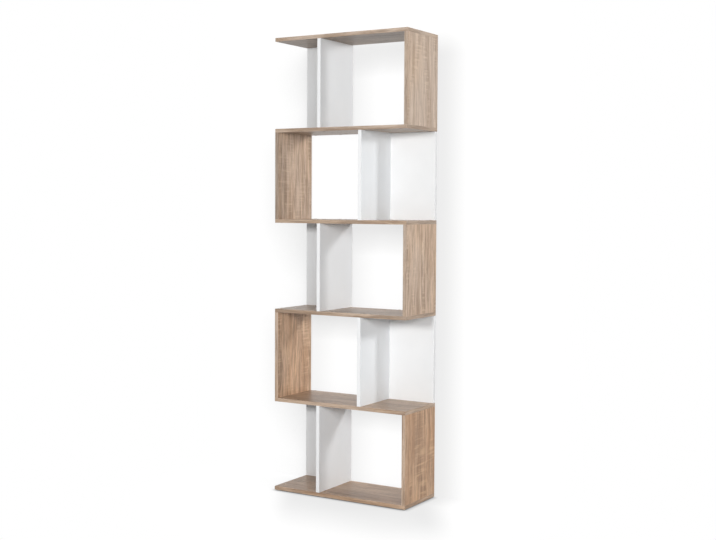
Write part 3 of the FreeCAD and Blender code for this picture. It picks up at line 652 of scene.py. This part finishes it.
floor = add_sheet("studio_floor", [
    (-ROOM_HALF_WIDTH, -FLOOR_REACH, 0), (ROOM_HALF_WIDTH, -FLOOR_REACH, 0),
    (ROOM_HALF_WIDTH, FLOOR_REACH, 0), (-ROOM_HALF_WIDTH, FLOOR_REACH, 0)])
material, tree, seen = studio_white("studio_floor_white", floor_shade)
bounce = add_node(tree, "ShaderNodeBsdfDiffuse", {"Color": FLOOR_BOUNCE})
either = add_node(tree, "ShaderNodeMixShader", {0: looked_at(tree), 1: bounce.outputs[0], 2: seen})
floor.data.materials.append(show_one_side(material, tree, either.outputs[0]))
floor.visible_shadow = False

# The light: an even white surround, a broad soft box at the front right, and a small one high behind on the
# right, which throws the slanting shadows on the dividers. One fill stands in front, one at the rear left for
# the rear, and a box hangs above the top board.
SURROUND = 0.10
LAMPS = {
    "soft_box": {"at": (4.1, -4.0, 1.8), "to": (0.0, 0.0, -0.4), "width": 2.4, "height": 1.2, "power": 161},
    "rear_box": {"at": (3.6, 1.9, 2.15), "to": (0.4, 0.3, 0.0), "width": 0.5, "height": 0.5, "power": 64},
    "front_fill": {"at": (0.5, -4.9, 1.78), "to": (0.0, 0.0, 0.1), "width": 0.6, "height": 0.6, "power": 123},
    "rear_fill": {"at": (-3.7, 3.3, 1.7), "to": (0.0, 0.0, 0.8), "width": 1.6, "height": 1.6, "power": 165},
    "top_box": {"at": (0.2, 0.0, 5.0), "to": (0.0, 0.0, 1.9), "width": 1.2, "height": 1.2, "power": 105},
}
world = bpy.data.worlds.new("studio")
bpy.context.scene.world = world
world.use_nodes = True
tree = world.node_tree
tree.nodes.clear()
lighting = add_node(tree, "ShaderNodeBackground", {"Color": STUDIO_WHITE, "Strength": SURROUND})
backing = add_node(tree, "ShaderNodeBackground", {"Color": STUDIO_WHITE, "Strength": FULL_WHITE})
around = add_node(tree, "ShaderNodeMixShader", {
    0: looked_at(tree), 1: lighting.outputs[0], 2: backing.outputs[0]})
add_node(tree, "ShaderNodeOutputWorld", {"Surface": around.outputs[0]})
for name, lamp in LAMPS.items():
    light = bpy.data.lights.new(name, "AREA")
    light.shape = "RECTANGLE"
    light.size, light.size_y = lamp["width"], lamp["height"]
    light.energy = lamp["power"]
    holder = bpy.data.objects.new(name, light)
    bpy.context.scene.collection.objects.link(holder)
    holder.location = lamp["at"]
    aim = Vector(lamp["to"]) - holder.location
    holder.rotation_euler = aim.to_track_quat("-Z", "Y").to_euler()
    holder.visible_camera = False
    holder.visible_glossy = False
bpy.context.scene.view_settings.view_transform = "Standard"

# The camera: at chest height in front and to the right, turned a little down, with the lens and the small
# shift that the photograph's framing needs. Angles are in radians, and the lens is in millimetres.
CAMERA_AT = Vector((2.5080, -4.1008, 1.1907))
CAMERA_YAW, CAMERA_PITCH, CAMERA_ROLL = 0.54608, -0.04835, 0.0049
CAMERA_LENS, CAMERA_SENSOR, CAMERA_SHIFT = 59.138, 36.0, -0.0112
forward = Vector((
    -math.sin(CAMERA_YAW) * math.cos(CAMERA_PITCH),
    math.cos(CAMERA_YAW) * math.cos(CAMERA_PITCH),
    math.sin(CAMERA_PITCH)))
right = Vector((math.cos(CAMERA_YAW), math.sin(CAMERA_YAW), 0))
up = right.cross(forward)
right, up = right + up * CAMERA_ROLL, up - right * CAMERA_ROLL
camera_data = bpy.data.cameras.new("camera")
camera_data.sensor_width = CAMERA_SENSOR
camera_data.lens = CAMERA_LENS
camera_data.shift_y = CAMERA_SHIFT
camera = bpy.data.objects.new("camera", camera_data)
bpy.context.scene.collection.objects.link(camera)
axes = Matrix((right.normalized(), up.normalized(), -forward)).transposed()
camera.matrix_world = Matrix.Translation(CAMERA_AT) @ axes.to_4x4()
bpy.context.scene.camera = camera
